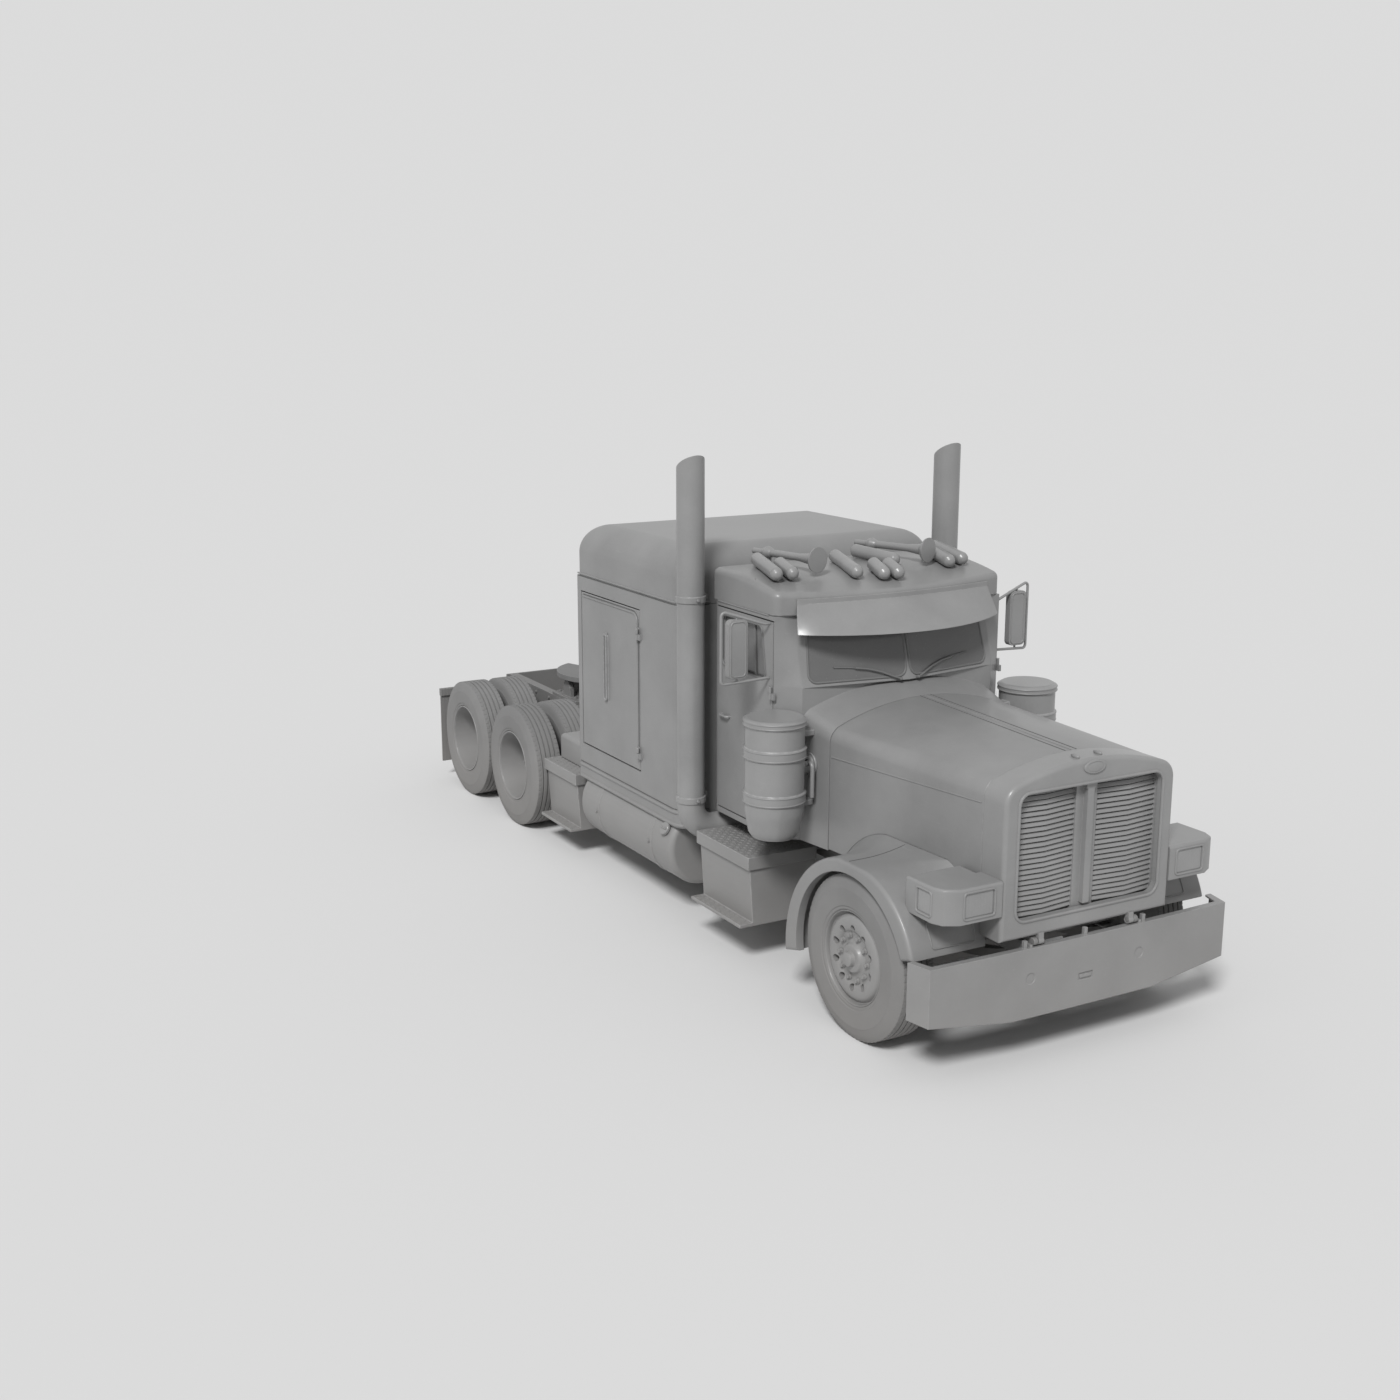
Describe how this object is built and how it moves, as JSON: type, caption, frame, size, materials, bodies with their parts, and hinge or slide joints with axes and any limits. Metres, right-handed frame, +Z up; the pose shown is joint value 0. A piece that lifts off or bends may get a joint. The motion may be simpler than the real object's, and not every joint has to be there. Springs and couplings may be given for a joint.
{
  "type": "semi truck tractor unit",
  "caption": "Long-nosed road tractor with a sleeper box, upright stacks, a tilting hood, twin drive axles and a rocking trailer coupling.",
  "frame": {"origin": "on the road, under the middle of the overall box", "axes": "+X to the truck's left, +Y to its back (the nose is at minus Y), +Z up"},
  "size_m": [2.67, 8.12, 3.56],
  "materials": {
    "body_paint": "satin",
    "frame_paint": "matte",
    "bright_metal": "satin",
    "wheel_alloy": "satin",
    "forged": "matte",
    "tyre": "matte",
    "flap_rubber": "matte",
    "glazing": "gloss",
    "lamp": "gloss",
    "trim": "matte",
    "seat_cloth": "matte"
  },
  "bodies": {
    "chassis": {"air_cleaners": "bright_metal", "bunk": "seat_cloth", "cab_body": "body_paint", "cab_roof": "body_paint", "coupling_base": "forged", "crossmembers": "frame_paint", "dashboard": "trim", "drive_axles": "forged", "engine": "frame_paint", "exhaust_stacks": "bright_metal", "frame_rails": "frame_paint", "front_axle": "forged", "front_bumper": "bright_metal", "fuel_tanks": "bright_metal", "mudflaps": "flap_rubber", "radiator": "frame_paint", "roof_horns": "bright_metal", "roof_lamps": "lamp", "seats": "seat_cloth", "sleeper_body": "body_paint", "sleeper_roof": "body_paint", "step_boxes": "bright_metal", "stowage_boxes": "bright_metal", "sun_visor": "bright_metal", "suspension": "forged", "tail_lamps": "lamp", "windshield": "glazing", "wipers": "trim"},
    "coupling": {"coupling_plate": "forged"},
    "hood": {"hood_shell": "body_paint", "fenders": "body_paint", "grille_surround": "bright_metal", "grille_bars": "bright_metal", "headlamp_pods": "bright_metal", "headlamp_lenses": "lamp"},
    "cab_door_left": {"door_left": "body_paint", "door_glass_left": "glazing", "mirror_left": "bright_metal"},
    "sleeper_door_left": {"bunk_door_left": "body_paint"},
    "steer_left": {"knuckle_left": "forged"},
    "front_wheel_body_left": {"front_tyre_left": "tyre", "front_wheel_left": "wheel_alloy"},
    "front_drive_left": {"front_drive_tyres_left": "tyre", "front_drive_wheels_left": "wheel_alloy"},
    "rear_drive_left": {"rear_drive_tyres_left": "tyre", "rear_drive_wheels_left": "wheel_alloy"},
    "cab_door_right": {"door_right": "body_paint", "door_glass_right": "glazing", "mirror_right": "bright_metal"},
    "sleeper_door_right": {"bunk_door_right": "body_paint"},
    "steer_right": {"knuckle_right": "forged"},
    "front_wheel_body_right": {"front_tyre_right": "tyre", "front_wheel_right": "wheel_alloy"},
    "front_drive_right": {"front_drive_tyres_right": "tyre", "front_drive_wheels_right": "wheel_alloy"},
    "rear_drive_right": {"rear_drive_tyres_right": "tyre", "rear_drive_wheels_right": "wheel_alloy"}
  },
  "joints": [
    {"name": "coupling_rock", "type": "hinge", "parent": "chassis", "child": "coupling", "pos_m": [0, 2.71, 1.075], "axis": [1, 0, 0], "range_deg": [-12, 12]},
    {"name": "hood_tilt", "type": "hinge", "parent": "chassis", "child": "hood", "pos_m": [0, -4.03, 0.8], "axis": [1, 0, 0], "range_deg": [0, 75]},
    {"name": "cab_door_left_swing", "type": "hinge", "parent": "chassis", "child": "cab_door_left", "pos_m": [0.99, -1.888, 1.7], "axis": [0, 0, -1], "range_deg": [0, 70]},
    {"name": "sleeper_door_left_swing", "type": "hinge", "parent": "chassis", "child": "sleeper_door_left", "pos_m": [1.16, -0.23, 1.7], "axis": [0, 0, -1], "range_deg": [0, 90]},
    {"name": "steer_left_turn", "type": "hinge", "parent": "chassis", "child": "steer_left", "pos_m": [0.89, -3.19, 0.545], "axis": [0, 0, 1], "range_deg": [-35, 35]},
    {"name": "front_wheel_left_spin", "type": "hinge", "parent": "steer_left", "child": "front_wheel_body_left", "pos_m": [1.04, -3.19, 0.545], "axis": [1, 0, 0], "continuous": true},
    {"name": "front_drive_left_spin", "type": "hinge", "parent": "chassis", "child": "front_drive_left", "pos_m": [0.914, 2.14, 0.545], "axis": [1, 0, 0], "continuous": true},
    {"name": "rear_drive_left_spin", "type": "hinge", "parent": "chassis", "child": "rear_drive_left", "pos_m": [0.914, 3.27, 0.545], "axis": [1, 0, 0], "continuous": true},
    {"name": "cab_door_right_swing", "type": "hinge", "parent": "chassis", "child": "cab_door_right", "pos_m": [-0.99, -1.888, 1.7], "axis": [0, 0, 1], "range_deg": [0, 70]},
    {"name": "sleeper_door_right_swing", "type": "hinge", "parent": "chassis", "child": "sleeper_door_right", "pos_m": [-1.16, -0.23, 1.7], "axis": [0, 0, 1], "range_deg": [0, 90]},
    {"name": "steer_right_turn", "type": "hinge", "parent": "chassis", "child": "steer_right", "pos_m": [-0.89, -3.19, 0.545], "axis": [0, 0, 1], "range_deg": [-35, 35]},
    {"name": "front_wheel_right_spin", "type": "hinge", "parent": "steer_right", "child": "front_wheel_body_right", "pos_m": [-1.04, -3.19, 0.545], "axis": [1, 0, 0], "continuous": true},
    {"name": "front_drive_right_spin", "type": "hinge", "parent": "chassis", "child": "front_drive_right", "pos_m": [-0.914, 2.14, 0.545], "axis": [1, 0, 0], "continuous": true},
    {"name": "rear_drive_right_spin", "type": "hinge", "parent": "chassis", "child": "rear_drive_right", "pos_m": [-0.914, 3.27, 0.545], "axis": [1, 0, 0], "continuous": true}
  ],
  "couplings": [
    {"joint": "steer_right_turn", "follows": "steer_left_turn", "ratio": 1}
  ]
}
